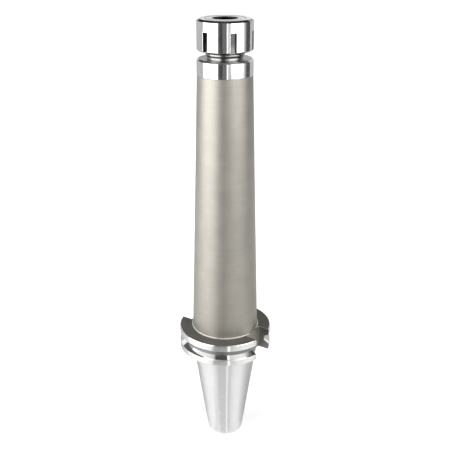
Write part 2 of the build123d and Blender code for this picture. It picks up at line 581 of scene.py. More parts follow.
# %% [markdown]
# ## The thrust ring
# This ring presses on the collet's face and stays still while the nut turns round it. Its inside
# widens downwards to suit the collet, and a thin lip at its foot is set off centre, so the collet
# clicks in and is pulled out with the nut. The lip is an annulus between two circles whose centres
# differ, bridged and given its height by an extrusion.

# %% Turn the thrust ring
opening_r = 8.0
ring_edge = 0.3
ring_land = 1.0
ring_pocket_r = 9.9
ring_cone_deg = 30
cone_top_z = nut_top_z - ring_land
cone_height = (ring_pocket_r - opening_r) / math.tan(math.radians(ring_cone_deg))
ring_outline = [
    (opening_r, nut_top_z),
    (ring_r - ring_edge, nut_top_z),
    (ring_r, nut_top_z - ring_edge),
    (ring_r, ball_z + race_half),
    (ball_circle_r - race_reach, ball_z),
    (ring_r, ball_z - race_half),
    (ring_r, ring_foot_z),
    (ring_pocket_r, ring_foot_z),
    (ring_pocket_r, cone_top_z - cone_height),
    (opening_r, cone_top_z),
]
ring_segments = 160
ring = turn("thrust_ring_turned", ring_outline, ring_segments)
soften_edges(ring, width=0.1)

# %% Bridge the extractor lip
lip_segments = 96
lip_sink = 0.2
lip_r = 9.4
lip_offset = 0.45
lip_lead = 0.3
lip_height = 0.8


def lip_circle(name, radius, offset):
    nothing()
    bpy.ops.mesh.primitive_circle_add(
        vertices=lip_segments,
        radius=radius * MM,
        location=(offset * MM, 0, (ring_foot_z + lip_lead) * MM),
    )
    circle = named(name)
    settle()
    return circle


def extractor_lip():
    outer = lip_circle("extractor_lip", ring_pocket_r + lip_sink, 0)
    inner = lip_circle("lip_hole", lip_r, lip_offset)
    join_into(outer, [inner])
    edit("EDGE")
    bpy.ops.mesh.select_all(action="SELECT")
    bpy.ops.mesh.bridge_edge_loops()
    bpy.ops.mesh.select_all(action="SELECT")
    bpy.ops.mesh.extrude_region_move(TRANSFORM_OT_translate={"value": (0, 0, lip_height * MM)})
    bpy.ops.mesh.select_all(action="SELECT")
    bpy.ops.mesh.normals_make_consistent(inside=False)
    done()
    return outer


join_into(ring, [extractor_lip()])
smooth(ring)

# %% [markdown]
# ## Balls between nut and ring
# A row of 2.5 mm balls runs between nut and ring. One ball is modelled and copied round the circle,
# with few faces each, since they only show when the nut is cut open.

# %% Ball row
ball_count = 28
nothing()
bpy.ops.mesh.primitive_uv_sphere_add(
    segments=16, ring_count=10, radius=ball_r * MM, location=(ball_circle_r * MM, 0, ball_z * MM)
)
first_ball = named("bearing_balls")
settle()
balls = [first_ball]
for i in range(1, ball_count):
    only(first_ball)
    bpy.ops.object.duplicate(linked=False)
    ball = bpy.context.object
    ball.rotation_euler = (0, 0, 2 * math.pi * i / ball_count)
    settle()
    balls.append(ball)
join_into(first_ball, balls)
bpy.ops.object.shade_smooth()
print("balls", ball_count)

# %% [markdown]
# ## Filling plug
# The plug closes the hole through which the balls are filled. On the real nut it is pressed in and
# ground flush, so here it is a disc cut by the nut's own cylinder.

# %% Cut the plug flush
plug_deg = 169.0
plug_r = 1.4
plug_gap = 0.01
plug_foot_r = 13.555
plug_length = 6.0
plug_flush = 0.004
trim_height = 10.0
nothing()
bpy.ops.mesh.primitive_cylinder_add(
    vertices=32,
    radius=(plug_r - plug_gap) * MM,
    depth=plug_length * MM,
    location=((plug_foot_r + plug_length / 2) * MM, 0, ball_z * MM),
    rotation=(0, math.pi / 2, 0),
)
plug = named("filling_plug_ground")
settle()
plug.rotation_euler = (0, 0, math.radians(plug_deg))
settle()
bpy.ops.mesh.primitive_cylinder_add(
    vertices=nut_segments,
    radius=(nut_r - plug_flush) * MM,
    depth=trim_height * MM,
    location=(0, 0, ball_z * MM),
)
cut(plug, named("plug_trim"), "INTERSECT")
smooth(plug)

# %% [markdown]
# ## The stop screw
# Deep in the bore sits a hollow socket screw that sets how far a tool goes in. It is turned like the
# rest, then a six-sided prism cuts the socket.

# %% Turn the stop screw
stop_r = 5.95
stop_edge = 0.8
stop_hole_r = 2.1
stop_foot_z = 168.0
stop_top_z = 184.0
socket_half = 3.0
socket_depth = 6.0
stop_outline = [
    (stop_hole_r, stop_foot_z),
    (stop_r - stop_edge, stop_foot_z),
    (stop_r, stop_foot_z + stop_edge),
    (stop_r, stop_top_z - stop_edge),
    (stop_r - stop_edge, stop_top_z),
    (stop_hole_r, stop_top_z),
]
stop_segments = 96
stop = turn("stop_screw_turned", stop_outline, stop_segments)
socket_corner_r = socket_half / math.cos(math.pi / 6)
nothing()
bpy.ops.mesh.primitive_cylinder_add(
    vertices=6,
    radius=socket_corner_r * MM,
    depth=(socket_depth + cut_spare) * MM,
    location=(0, 0, (stop_top_z + (cut_spare - socket_depth) / 2) * MM),
)
cut(stop, named("hexagon_tool"))
soften_edges(stop, width=0.1)
smooth(stop)

# %% [markdown]
# ## Shared effects
# Most finishes on this part come from a tool that moved round the axis, so they share one group that
# makes fine lines which follow the turning. The lines vary quickly along height plus radius and only
# slowly round the axis, so they run round a cylinder and make circles on a flat face. A second group
# makes the soft patches that handling and oil leave on steel, a third makes the fine grain of a
# blasted surface, and a fourth fades from one height to another, which paints shade into the slots.

# %% Node helpers
def new_group(name, inputs, outputs):
    group = bpy.data.node_groups.new(name, "ShaderNodeTree")
    for label, value in inputs:
        socket = group.interface.new_socket(label, in_out="INPUT", socket_type="NodeSocketFloat")
        socket.default_value = value
    for label in outputs:
        group.interface.new_socket(label, in_out="OUTPUT", socket_type="NodeSocketFloat")
    print(name, "takes", [label for label, _ in inputs], "and gives", outputs)
    return group, group.nodes.new("NodeGroupInput"), group.nodes.new("NodeGroupOutput")


def node(tree, kind, **settings):
    made = tree.nodes.new(kind)
    for key, value in settings.items():
        setattr(made, key, value)
    return made


def maths(tree, operation, a, b=None):
    made = node(tree, "ShaderNodeMath", operation=operation)
    for place, value in enumerate((a, b)):
        if value is None:
            continue
        if isinstance(value, (int, float)):
            made.inputs[place].default_value = value
        else:
            tree.links.new(value, made.inputs[place])
    return made.outputs[0]

# %% Group: lines left by turning and grinding
turned, entry, leave = new_group(
    "turned_lines", [("Across", 2500.0), ("Around", 60.0), ("Detail", 3.0)], ["Lines"]
)
place = node(turned, "ShaderNodeTexCoord")
parts = node(turned, "ShaderNodeSeparateXYZ")
turned.links.new(place.outputs["Object"], parts.inputs[0])
x_squared = maths(turned, "MULTIPLY", parts.outputs[0], parts.outputs[0])
y_squared = maths(turned, "MULTIPLY", parts.outputs[1], parts.outputs[1])
reach = maths(turned, "SQRT", maths(turned, "ADD", x_squared, y_squared))
run = maths(turned, "MULTIPLY", maths(turned, "ADD", reach, parts.outputs[2]), entry.outputs["Across"])
spot = node(turned, "ShaderNodeCombineXYZ")
turned.links.new(maths(turned, "MULTIPLY", parts.outputs[0], entry.outputs["Around"]), spot.inputs[0])
turned.links.new(maths(turned, "MULTIPLY", parts.outputs[1], entry.outputs["Around"]), spot.inputs[1])
turned.links.new(run, spot.inputs[2])
noise = node(turned, "ShaderNodeTexNoise", noise_dimensions="3D")
noise.inputs["Scale"].default_value = 1.0
turned.links.new(entry.outputs["Detail"], noise.inputs["Detail"])
turned.links.new(spot.outputs[0], noise.inputs["Vector"])
turned.links.new(noise.outputs["Fac"], leave.inputs["Lines"])

# %% Group: soft patches from handling and oil
patches, entry, leave = new_group(
    "handling_patches", [("Size", 90.0), ("Low", 0.42), ("High", 0.62)], ["Patches"]
)
place = node(patches, "ShaderNodeTexCoord")
noise = node(patches, "ShaderNodeTexNoise", noise_dimensions="3D")
noise.inputs["Detail"].default_value = 4.0
noise.inputs["Distortion"].default_value = 0.6
patches.links.new(place.outputs["Object"], noise.inputs["Vector"])
patches.links.new(entry.outputs["Size"], noise.inputs["Scale"])
spread = node(patches, "ShaderNodeMapRange", interpolation_type="SMOOTHSTEP")
patches.links.new(noise.outputs["Fac"], spread.inputs["Value"])
patches.links.new(entry.outputs["Low"], spread.inputs["From Min"])
patches.links.new(entry.outputs["High"], spread.inputs["From Max"])
patches.links.new(spread.outputs[0], leave.inputs["Patches"])

# %% Group: fine grain of a blasted surface
fine_per_coarse = 1.7
grain, entry, leave = new_group("blasted_grain", [("Size", 2600.0), ("Share", 0.5)], ["Height"])
place = node(grain, "ShaderNodeTexCoord")
coarse = node(grain, "ShaderNodeTexNoise", noise_dimensions="3D")
coarse.inputs["Detail"].default_value = 2.0
grain.links.new(place.outputs["Object"], coarse.inputs["Vector"])
grain.links.new(entry.outputs["Size"], coarse.inputs["Scale"])
fine = node(grain, "ShaderNodeTexVoronoi", feature="SMOOTH_F1")
grain.links.new(place.outputs["Object"], fine.inputs["Vector"])
grain.links.new(maths(grain, "MULTIPLY", entry.outputs["Size"], fine_per_coarse), fine.inputs["Scale"])
both = node(grain, "ShaderNodeMix", data_type="FLOAT")
grain.links.new(entry.outputs["Share"], both.inputs["Factor"])
grain.links.new(coarse.outputs["Fac"], both.inputs["A"])
grain.links.new(fine.outputs["Distance"], both.inputs["B"])
grain.links.new(both.outputs["Result"], leave.inputs["Height"])

# %% Group: a fade from one height down to another
# Used on the slot floors: painted shade, darker at the slot's closed top and lighter towards its open
# foot.
painted_shade_by_height, entry, leave = new_group("painted_shade_by_height", [("High", 0.2), ("Low", 0.1)], ["Fade"])
place = node(painted_shade_by_height, "ShaderNodeTexCoord")
parts = node(painted_shade_by_height, "ShaderNodeSeparateXYZ")
painted_shade_by_height.links.new(place.outputs["Object"], parts.inputs[0])
fall = node(painted_shade_by_height, "ShaderNodeMapRange", interpolation_type="SMOOTHSTEP")
painted_shade_by_height.links.new(parts.outputs[2], fall.inputs["Value"])
painted_shade_by_height.links.new(entry.outputs["High"], fall.inputs["From Min"])
painted_shade_by_height.links.new(entry.outputs["Low"], fall.inputs["From Max"])
painted_shade_by_height.links.new(fall.outputs[0], leave.inputs["Fade"])

# %% [markdown]
# ## Steel in several finishes
# All the metal is one kind of steel, and what differs is how it was cut. Several faces also get a
# darker colour that is painted shade, and the bead a paler one that is partly a painted highlight. So
# one function makes every finish: a base colour that shifts a little along the lines and patches, a
# roughness range, and a very shallow bump from the lines. The lines run round the axis, so they smear
# a reflection along the axis and leave it crisp round it, and anisotropy on the shader's own socket
# makes that. Where a fade is given, the lighter colour takes over towards its lower height, which
# paints shade into the top of the slots.

# %% Make a steel finish
faded_line_share = 0.3


def steel(
    name,
    light,
    dark,
    rough,
    across=2500.0,
    around=60.0,
    line_share=0.5,
    bump=0.15,
    depth=0.002,
    aniso=0.0,
    grain_share=0.0,
    fade=None,
):
    material = bpy.data.materials.new(name)
    material.use_nodes = True
    tree = material.node_tree
    shader = tree.nodes["Principled BSDF"]
    shader.inputs["Metallic"].default_value = 1.0
    shader.inputs["Anisotropic"].default_value = aniso
    shader.inputs["Anisotropic Rotation"].default_value = 0.25
    lines = node(tree, "ShaderNodeGroup", node_tree=turned)
    lines.inputs["Across"].default_value = across
    lines.inputs["Around"].default_value = around
    soft = node(tree, "ShaderNodeGroup", node_tree=patches)
    share = node(tree, "ShaderNodeMix", data_type="FLOAT")
    share.inputs["Factor"].default_value = line_share
    tree.links.new(soft.outputs["Patches"], share.inputs["A"])
    tree.links.new(lines.outputs["Lines"], share.inputs["B"])
    colour = node(tree, "ShaderNodeMix", data_type="RGBA")
    colour.inputs["A"].default_value = (*dark, 1)
    colour.inputs["B"].default_value = (*light, 1)
    factor = share.outputs["Result"]
    if fade:
        falling = node(tree, "ShaderNodeGroup", node_tree=painted_shade_by_height)
        falling.inputs["High"].default_value = fade[0] * MM
        falling.inputs["Low"].default_value = fade[1] * MM
        factor = maths(tree, "MULTIPLY", factor, faded_line_share)
        factor = maths(tree, "MAXIMUM", factor, falling.outputs["Fade"])
    tree.links.new(factor, colour.inputs["Factor"])
    tree.links.new(colour.outputs["Result"], shader.inputs["Base Color"])
    roughness = node(tree, "ShaderNodeMapRange")
    roughness.inputs["To Min"].default_value = rough[0]
    roughness.inputs["To Max"].default_value = rough[1]
    tree.links.new(share.outputs["Result"], roughness.inputs["Value"])
    tree.links.new(roughness.outputs[0], shader.inputs["Roughness"])
    relief = node(tree, "ShaderNodeBump")
    relief.inputs["Strength"].default_value = bump
    relief.inputs["Distance"].default_value = depth * MM
    height = lines.outputs["Lines"]
    if grain_share:
        blasted = node(tree, "ShaderNodeGroup", node_tree=grain)
        mixed = node(tree, "ShaderNodeMix", data_type="FLOAT")
        mixed.inputs["Factor"].default_value = grain_share
        tree.links.new(height, mixed.inputs["A"])
        tree.links.new(blasted.outputs["Height"], mixed.inputs["B"])
        height = mixed.outputs["Result"]
    tree.links.new(height, relief.inputs["Height"])
    tree.links.new(relief.outputs["Normal"], shader.inputs["Normal"])
    return material

# %% Bright ground finishes, with painted shade on the collar chamfer and a painted highlight on the bead
shank_ground = steel(
    "shank_ground", (0.84, 0.84, 0.84), (0.78, 0.78, 0.78), (0.24, 0.29), line_share=0.8, aniso=1.0
)
mirror_ground = steel(
    "mirror_ground",
    (0.92, 0.92, 0.92),
    (0.86, 0.86, 0.86),
    (0.14, 0.16),
    line_share=0.6,
    bump=0.03,
    aniso=1.0,
)
flange_ground = steel(
    "flange_ground", (0.90, 0.90, 0.89), (0.82, 0.82, 0.81), (0.22, 0.27), line_share=0.7, aniso=1.0
)
groove_wall = steel(
    "groove_wall",
    (0.95, 0.95, 0.94),
    (0.90, 0.90, 0.89),
    (0.07, 0.10),
    line_share=0.7,
    bump=0.03,
    aniso=0.9,
)
# The bead is a real round, and its pale colour is partly a painted highlight; the keyway's top edge gets
# the same painted highlight.
bead_painted_highlight = steel("bead_painted_highlight", (0.97, 0.95, 0.89), (0.92, 0.90, 0.84), (0.48, 0.56))
nut_face = steel("nut_face", (0.88, 0.88, 0.87), (0.80, 0.80, 0.79), (0.18, 0.26))
# The collar chamfer is the ground steel made darker: painted shade under the nut.
collar_chamfer_painted_shade = steel("collar_chamfer_painted_shade", (0.62, 0.62, 0.61), (0.54, 0.54, 0.53), (0.22, 0.28))
ball_polished = steel("ball_polished", (0.85, 0.85, 0.85), (0.8, 0.8, 0.8), (0.03, 0.06))
print("bright finishes", len(bpy.data.materials))

# %% Satin finish, and darker steel that carries painted shade
body_satin = steel(
    "body_satin",
    (0.508, 0.484, 0.433),
    (0.397, 0.378, 0.341),
    (0.50, 0.56),
    across=1500.0,
    around=24.0,
    line_share=0.75,
    bump=0.5,
    depth=0.02,
    aniso=0.25,
    grain_share=0.5,
)
# The flange's level faces carry real turning lines, and their dark colour is partly painted shade.
turned_face_painted_shade = steel(
    "turned_face_painted_shade",
    (0.29, 0.28, 0.258),
    (0.145, 0.14, 0.128),
    (0.70, 0.80),
    across=1500.0,
    around=24.0,
    line_share=0.85,
)
# The groove floor's dark colour is painted shade in the bottom of the V-groove.
groove_floor_painted_shade = steel("groove_floor_painted_shade", (0.33, 0.33, 0.33), (0.25, 0.25, 0.25), (0.34, 0.42), aniso=0.3)
# The keyway flanks are milled steel whose dark colour is painted shade in the recess.
milled_keyway_painted_shade = steel("milled_keyway_painted_shade", (0.22, 0.212, 0.195), (0.17, 0.163, 0.15), (0.40, 0.48))
# The nose and its thread are turned steel darkened as painted shade under the nut.
turned_thread_painted_shade = steel("turned_thread_painted_shade", (0.36, 0.355, 0.35), (0.28, 0.275, 0.27), (0.18, 0.28))
# The collar's top face is darkened as painted shade under the nut.
collar_face_painted_shade = steel("collar_face_painted_shade", (0.245, 0.245, 0.237), (0.18, 0.18, 0.172), (0.2, 0.28))
# The nut's chamfers are painted dark: a painted dark reflection along the face and foot.
nut_chamfer_painted_dark = steel("nut_chamfer_painted_dark", (0.26, 0.26, 0.255), (0.20, 0.20, 0.195), (0.08, 0.12))
# The bores are steel darkened as painted shade inside the holes.
bore_painted_shade = steel("bore_painted_shade", (0.30, 0.29, 0.27), (0.20, 0.19, 0.18), (0.3, 0.42))
# The inside of the ring's mouth is painted near black: painted shade in the opening.
mouth_painted_shade = steel("mouth_painted_shade", (0.06, 0.058, 0.055), (0.04, 0.039, 0.037), (0.35, 0.45))
# The slot floors are dark as painted shade, lighter towards the open foot of each slot.
slot_painted_shade_z = (217.0, 210.5)
slot_floor_painted_shade = steel(
    "slot_floor_painted_shade", (0.215, 0.215, 0.212), (0.08, 0.08, 0.078), (0.22, 0.3), fade=slot_painted_shade_z
)
# The slot walls and roofs are painted near black: painted shade inside the slots.
slot_wall_painted_shade = steel("slot_wall_painted_shade", (0.09, 0.09, 0.088), (0.06, 0.06, 0.058), (0.12, 0.18))
black_oxide = steel("black_oxide", (0.05, 0.05, 0.055), (0.02, 0.02, 0.022), (0.35, 0.5))
print("all finishes", len(bpy.data.materials))

# %% [markdown]
# ## Which face gets which finish
# On the real part a finish ends where a tool stopped, which is always at an edge. So each face is
# given its finish by its height, radius and normal. The first rule that fits wins, and the last one
# has no condition.

# %% Paint by place
def paint(piece, rules):
    piece.data.materials.clear()
    for material, _ in rules:
        piece.data.materials.append(material)
    counts = [0] * len(rules)
    for face in piece.data.polygons:
        centre = face.center / MM
        reach = math.hypot(centre.x, centre.y)
        outward = (face.normal.x * centre.x + face.normal.y * centre.y) / max(reach, 1e-6)
        for slot, (_, fits) in enumerate(rules):
            if fits(centre, reach, outward, face.normal.z):
                face.material_index = slot
                counts[slot] += 1
                break
    print(piece.name, {m.name: c for (m, _), c in zip(rules, counts)})

# %% Places on the holder
hair = 0.05
speck = 0.02
rim_reach = 0.6
flank_spare = 0.25
shoulder_r = 16.0


def in_keyway(centre, spare):
    inside = abs(centre.y) < keyway_half + spare and abs(centre.x) > keyway_root - hair
    return inside and flange_foot_z - hair < centre.z < keyway_tool_top_z


def on_keyway_top_edge(centre, up):
    at_top = abs(centre.z - flange_top_z) < 0.2 and 0.3 < up < 0.95
    return at_top and in_keyway(centre, flank_spare)


def on_keyway_root(centre, up):
    at_root = abs(centre.x) < keyway_root + 0.03 and abs(up) < 0.5
    return at_root and in_keyway(centre, speck)


def on_keyway_flank(centre, out, up):
    round_the_axis = out ** 2 + up ** 2 > 0.9995
    return in_keyway(centre, flank_spare) and not round_the_axis


def in_holder_bore(centre, reach, out):
    in_pocket = reach < pocket_mouth_r + 0.1 and centre.z > 0
    return out < -0.2 or in_pocket or reach < knob_pilot_r + hair


def on_groove_floor(centre, reach):
    return abs(centre.z - groove_z) < groove_half_floor + 0.1 and reach < groove_floor_r + 0.3


def on_groove_wall(centre, reach):
    return abs(centre.z - groove_z) < groove_half_mouth and reach < flange_r - 0.1


def on_bead(centre, reach):
    return centre.z < bead_top_z + speck and reach > bead_r - 2 * bead_round


print("places ready")

# %% Paint the holder and its threads
paint(
    holder,
    [
        (bore_painted_shade, lambda c, r, out, up: in_holder_bore(c, r, out)),
        (shank_ground, lambda c, r, out, up: c.z < gauge_land_z + neck_slope / 2),
        # painted highlight on the bevel at the keyway's top edge
        (bead_painted_highlight, lambda c, r, out, up: on_keyway_top_edge(c, up)),
        (body_satin, lambda c, r, out, up: on_keyway_root(c, up)),
        (milled_keyway_painted_shade, lambda c, r, out, up: on_keyway_flank(c, out, up)),
        (turned_face_painted_shade, lambda c, r, out, up: c.z < flange_foot_z + 0.3 and r < flange_r - rim_reach),
        (groove_floor_painted_shade, lambda c, r, out, up: on_groove_floor(c, r)),
        (groove_wall, lambda c, r, out, up: on_groove_wall(c, r)),
        (flange_ground, lambda c, r, out, up: c.z < flange_top_z - hair and r > flange_r - rim_reach),
        (turned_face_painted_shade, lambda c, r, out, up: c.z < flange_top_z + speck and r > bead_r - 0.2),
        (bead_painted_highlight, lambda c, r, out, up: on_bead(c, r)),
        (body_satin, lambda c, r, out, up: c.z < collar_foot_z - speck),
        (mirror_ground, lambda c, r, out, up: c.z < collar_top_z - collar_edge - speck and r > shoulder_r),
        (collar_chamfer_painted_shade, lambda c, r, out, up: c.z < collar_top_z - 0.1 and r > shoulder_r),
        (collar_face_painted_shade, lambda c, r, out, up: c.z < collar_top_z + hair),
        (turned_thread_painted_shade, lambda c, r, out, up: True),
    ],
)
paint(nose_thread, [(turned_thread_painted_shade, lambda c, r, out, up: True)])
paint(knob_thread, [(bore_painted_shade, lambda c, r, out, up: True)])

# %% Paint the nut, ring, balls, plug and stop screw
slot_inner_r = slot_floor_r - 0.2


def in_slot(centre, reach):
    return centre.z < slot_top_z + 0.1 and slot_inner_r < reach < nut_r - 0.2


def in_nut_bore(centre, reach, out):
    return (reach < nut_seat_r + 0.1 and centre.z < nut_top_z - 0.4) or out < -0.5


paint(
    nut,
    [
        (bore_painted_shade, lambda c, r, out, up: in_nut_bore(c, r, out)),
        (slot_floor_painted_shade, lambda c, r, out, up: in_slot(c, r) and out > 0.9),
        (slot_wall_painted_shade, lambda c, r, out, up: in_slot(c, r) and abs(up) < 0.3),
        (slot_wall_painted_shade, lambda c, r, out, up: abs(c.z - slot_top_z) < 0.1 and up < -0.5),
        (nut_face, lambda c, r, out, up: up > 0.9),
        (nut_chamfer_painted_dark, lambda c, r, out, up: abs(up) > 0.3 and r > nut_r - face_chamfer - hair),
        (mirror_ground, lambda c, r, out, up: out > 0.3),
        (nut_face, lambda c, r, out, up: True),
    ],
)
paint(
    ring,
    [
        (nut_face, lambda c, r, out, up: up > 0.5),
        (mouth_painted_shade, lambda c, r, out, up: r < ring_pocket_r + 0.3),
        (bore_painted_shade, lambda c, r, out, up: True),
    ],
)
paint(first_ball, [(ball_polished, lambda c, r, out, up: True)])
paint(plug, [(mirror_ground, lambda c, r, out, up: True)])
paint(stop, [(black_oxide, lambda c, r, out, up: True)])

# %% [markdown]
# ## Who moves with whom
# The pieces ride on the bodies of the CAD model, so that the nut climbs its thread and the ring goes
# with it. The solids that the visible pieces stand in for are hidden.

# %% Ride, and hide the solids that the pieces stand in for
for piece, body, slot, nodes in (
    (holder, "holder", "holder_steel", ["holder_body"]),
    (nose_thread, "holder", "holder_steel", []),
    (knob_thread, "holder", "holder_steel", []),
    (nut, "nut", "nut_steel", ["clamping_nut"]),
    (plug, "nut", "nut_steel", ["filling_plug"]),
    (ring, "ring", "ring_steel", ["thrust_ring"]),
    (first_ball, "ring", "ring_steel", []),
    (stop, "stop", "screw_steel", ["stop_screw"]),
):
    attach(piece, body)
    if nodes:
        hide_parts(*nodes)

# %% [markdown]
# ## Floor, light and camera
# The holder stands in a light tent, and polished steel shows little else than what stands round it.
# So the tent is built as the photographer would: a tall soft box on each side, a narrow bright strip
# beside the camera, and pale, grey or dark card where the tent is open. Each stands on a circle round
# the holder and is placed by its bearing from the camera. The camera's place was found by fitting the
# known sizes of flange and shank to their outline in the photo.

# %% Camera
camera_bearing = 32.24
camera_tilt_deg = 67.655
camera_place = (0.2495, -0.3957, 0.2860)
camera_data = bpy.data.cameras.new("camera")
camera = bpy.data.objects.new("camera", camera_data)
bpy.context.scene.collection.objects.link(camera)
camera.location = camera_place
camera.rotation_euler = (math.radians(camera_tilt_deg), 0, math.radians(camera_bearing))
camera_data.lens = 60.38
camera_data.sensor_width = 36.0
camera_data.clip_start = 0.01
bpy.context.scene.camera = camera


def bearing_point(bearing_deg, distance, height):
    angle = math.radians(camera_bearing + bearing_deg)
    return (distance * math.sin(angle), -distance * math.cos(angle), height), angle


print("camera at", camera_place)

# %% Soft boxes
floor_z = shank_foot_z * MM
tent_r = 0.66
tent_head = 0.9
right_box_foot = 0.10


def soft_box(name, low_deg, high_deg, foot, head, radiance):
    middle, half = (low_deg + high_deg) / 2, math.radians(high_deg - low_deg) / 2
    place, angle = bearing_point(middle, tent_r, (foot + head) / 2)
    data = bpy.data.lights.new(name, "AREA")
    data.shape = "RECTANGLE"
    data.size = 2 * tent_r * math.tan(half)
    data.size_y = head - foot
    data.energy = radiance * math.pi * data.size * data.size_y
    lamp = bpy.data.objects.new(name, data)
    lamp.location = place
    lamp.rotation_euler = (math.pi / 2, 0, angle)
    lamp.visible_camera = False
    bpy.context.scene.collection.objects.link(lamp)
    print(name, "width", round(data.size, 3), "power", round(data.energy, 2))
    return lamp


soft_box("soft_box_left", -96, -29, floor_z, tent_head, radiance=2.7)
soft_box("soft_box_right", 24, 77, right_box_foot, tent_head, radiance=2.7)
soft_box("strip_beside_camera", 7.5, 11, floor_z, tent_head, radiance=1.6)

# %% Cards that glow with their own shade
card_gap = 0.01
card_head = 1.0


def glowing(name, grey):
    material = bpy.data.materials.new(name)
    material.use_nodes = True
    paper = material.node_tree.nodes["Principled BSDF"]
    paper.inputs["Base Color"].default_value = (0.02, 0.02, 0.02, 1)
    paper.inputs["Roughness"].default_value = 0.9
    paper.inputs["Specular IOR Level"].default_value = 0.0
    paper.inputs["Emission Color"].default_value = (1, 1, 1, 1)
    paper.inputs["Emission Strength"].default_value = grey
    return material


def card(name, grey, low_deg, high_deg, foot=floor_z, head=card_head):
    half = math.radians(high_deg - low_deg) / 2
    middle_deg = (low_deg + high_deg) / 2
    place, angle = bearing_point(middle_deg, tent_r + card_gap, (foot + head) / 2)
    nothing()
    bpy.ops.mesh.primitive_plane_add(size=1, location=place, rotation=(math.pi / 2, 0, angle))
    sheet = named(name)
    sheet.scale = (2 * tent_r * math.tan(half), head - foot, 1)
    sheet.data.materials.append(glowing(name, grey))
    sheet.visible_camera = False
    sheet.visible_shadow = False
    return sheet


print("a card is", round(card_head - floor_z, 3), "m tall")

# %% Cards in front of the holder
low_card_head = 0.04
card_pale = 0.95
card_dark = 0.045
card("card_beside_strip", 0.62, 11, 18, head=tent_head)
card("card_before_right_box", card_pale, 18, 24, right_box_foot, tent_head)
card("card_low_front_right", 0.08, 18, 84, head=low_card_head)
card("card_mid_front_right", card_pale, 18, 84, low_card_head, right_box_foot)
front_cards = ((-29, -23, 0.09), (-23, -11, card_dark), (-11, -7, 0.09), (-7, 7.5, 0.15))
for count, (low_deg, high_deg, grey) in enumerate(front_cards, 1):
    card(f"card_front_{count}", grey, low_deg, high_deg)
fading_cards = ((77, 82, 0.85), (82, 86, 0.6), (86, 90, 0.35), (90, 94, 0.15))
for count, (low_deg, high_deg, grey) in enumerate(fading_cards, 1):
    card(f"card_right_fade_{count}", grey, low_deg, high_deg)
card("card_right_side", card_dark, 94, 118)
print("front cards", len(front_cards), "fading cards", len(fading_cards))

# %% Cards at the sides, pale above and grey below
card_grey = 0.49
grey_card_head = 0.24
pale_card_foot = 0.25
for side, low_deg, high_deg, head in (
    ("right", 118, 178, 0.65),
    ("left", -178, -128, 0.40),
    ("far_left", -128, -96, 0.40),
):
    card("card_low_" + side, card_grey, low_deg, high_deg, head=grey_card_head)
    card("card_high_" + side, card_pale, low_deg, high_deg, pale_card_foot, head)
    print("cards", side, "from", low_deg, "to", high_deg)

# %% [markdown]
# ## Paper on the floor
# The lower half of the holder is seen from above, so it reflects the paper on the floor and not the
# tent's wall. That paper is bright before the soft boxes and dark before the camera, and this is what
# draws the upright streaks on the shank. A disc just above the floor, which only reflections see,
# carries that brightness by its bearing from the camera. The shank mirrors the paper nearest to it,
# the flange's rim a ring further out, and the extension the paper beyond. So the disc has three
# zones, each with its own list of shades, and at the foot of the holder it fades out.

# %% Reflector disc and its bearings
reflector_gap = 0.02
reflector_lift = 0.0005
nothing()
bpy.ops.mesh.primitive_circle_add(
    vertices=96,
    radius=tent_r - reflector_gap,
    fill_type="NGON",
    location=(0, 0, floor_z + reflector_lift),
    rotation=(0, 0, math.radians(camera_bearing)),
)
reflector = named("floor_reflector")
paper = bpy.data.materials.new("paper_by_bearing")
paper.use_nodes = True
tree = paper.node_tree
tree.nodes.remove(tree.nodes["Principled BSDF"])
ground = node(tree, "ShaderNodeTexCoord")
sides = node(tree, "ShaderNodeSeparateXYZ")
tree.links.new(ground.outputs["Object"], sides.inputs[0])
bearing = maths(tree, "ARCTAN2", sides.outputs[0], maths(tree, "MULTIPLY", sides.outputs[1], -1.0))
circle = maths(tree, "ADD", maths(tree, "DIVIDE", bearing, 2 * math.pi), 0.5)

print("disc radius", tent_r - reflector_gap)

# %% Shades by bearing
paper_peak = 2.0


def shades_by_bearing(tree, shades):
    ramp = node(tree, "ShaderNodeValToRGB")
    stops = ramp.color_ramp.elements
    stops[0].position, stops[1].position = 0.0, 1.0
    end_shade = shades[0][1] / paper_peak
    stops[0].color = stops[1].color = (end_shade, end_shade, end_shade, 1)
    for bearing_deg, grey in shades[1:]:
        shade = stops.new((bearing_deg + 180) / 360)
        shade.color = (grey / paper_peak, grey / paper_peak, grey / paper_peak, 1)
    tree.links.new(circle, ramp.inputs[0])
    return ramp.outputs[0]


far_shades = (
    (-180, 0.85),
    (-125, 0.85),
    (-95, 1.0),
    (-60, 1.0),
    (-48, 0.9),
    (-36, 0.45),
    (-24, 0.04),
    (6.5, 0.04),
    (7.5, 1.6),
    (11.0, 1.6),
    (12.0, 0.02),
    (20, 0.02),
    (80, 0.04),
    (97, 0.6),
    (115, 0.9),
    (125, 1.1),
)
ring_shades = (
    (-180, 0.6),
    (-130, 0.7),
    (-105, 0.9),
    (-60, 1.0),
    (-40, 0.9),
    (-30, 0.7),
    (-24, 0.03),
    (5.5, 0.03),
    (6.5, 1.8),
    (10, 1.8),
    (11, 0.8),
    (20, 0.85),
    (32, 1.0),
    (60, 1.2),
    (90, 0.9),
    (115, 0.6),
    (125, 0.6),
)
near_shades = (
    (-180, 0.55),
    (-125, 0.6),
    (-105, 0.85),
    (-80, 1.0),
    (-52, 1.02),
    (-40, 0.8),
    (-22, 0.84),
    (6.2, 0.84),
    (6.9, 1.6),
    (8.9, 1.6),
    (9.6, 0.73),
    (18, 0.8),
    (28, 0.9),
    (45, 1.02),
    (60, 1.05),
    (85, 0.78),
    (110, 0.55),
    (130, 0.55),
)
near, ring_zone, far = (
    shades_by_bearing(tree, shades) for shades in (near_shades, ring_shades, far_shades)
)
print("shades", len(near_shades), len(ring_shades), len(far_shades))

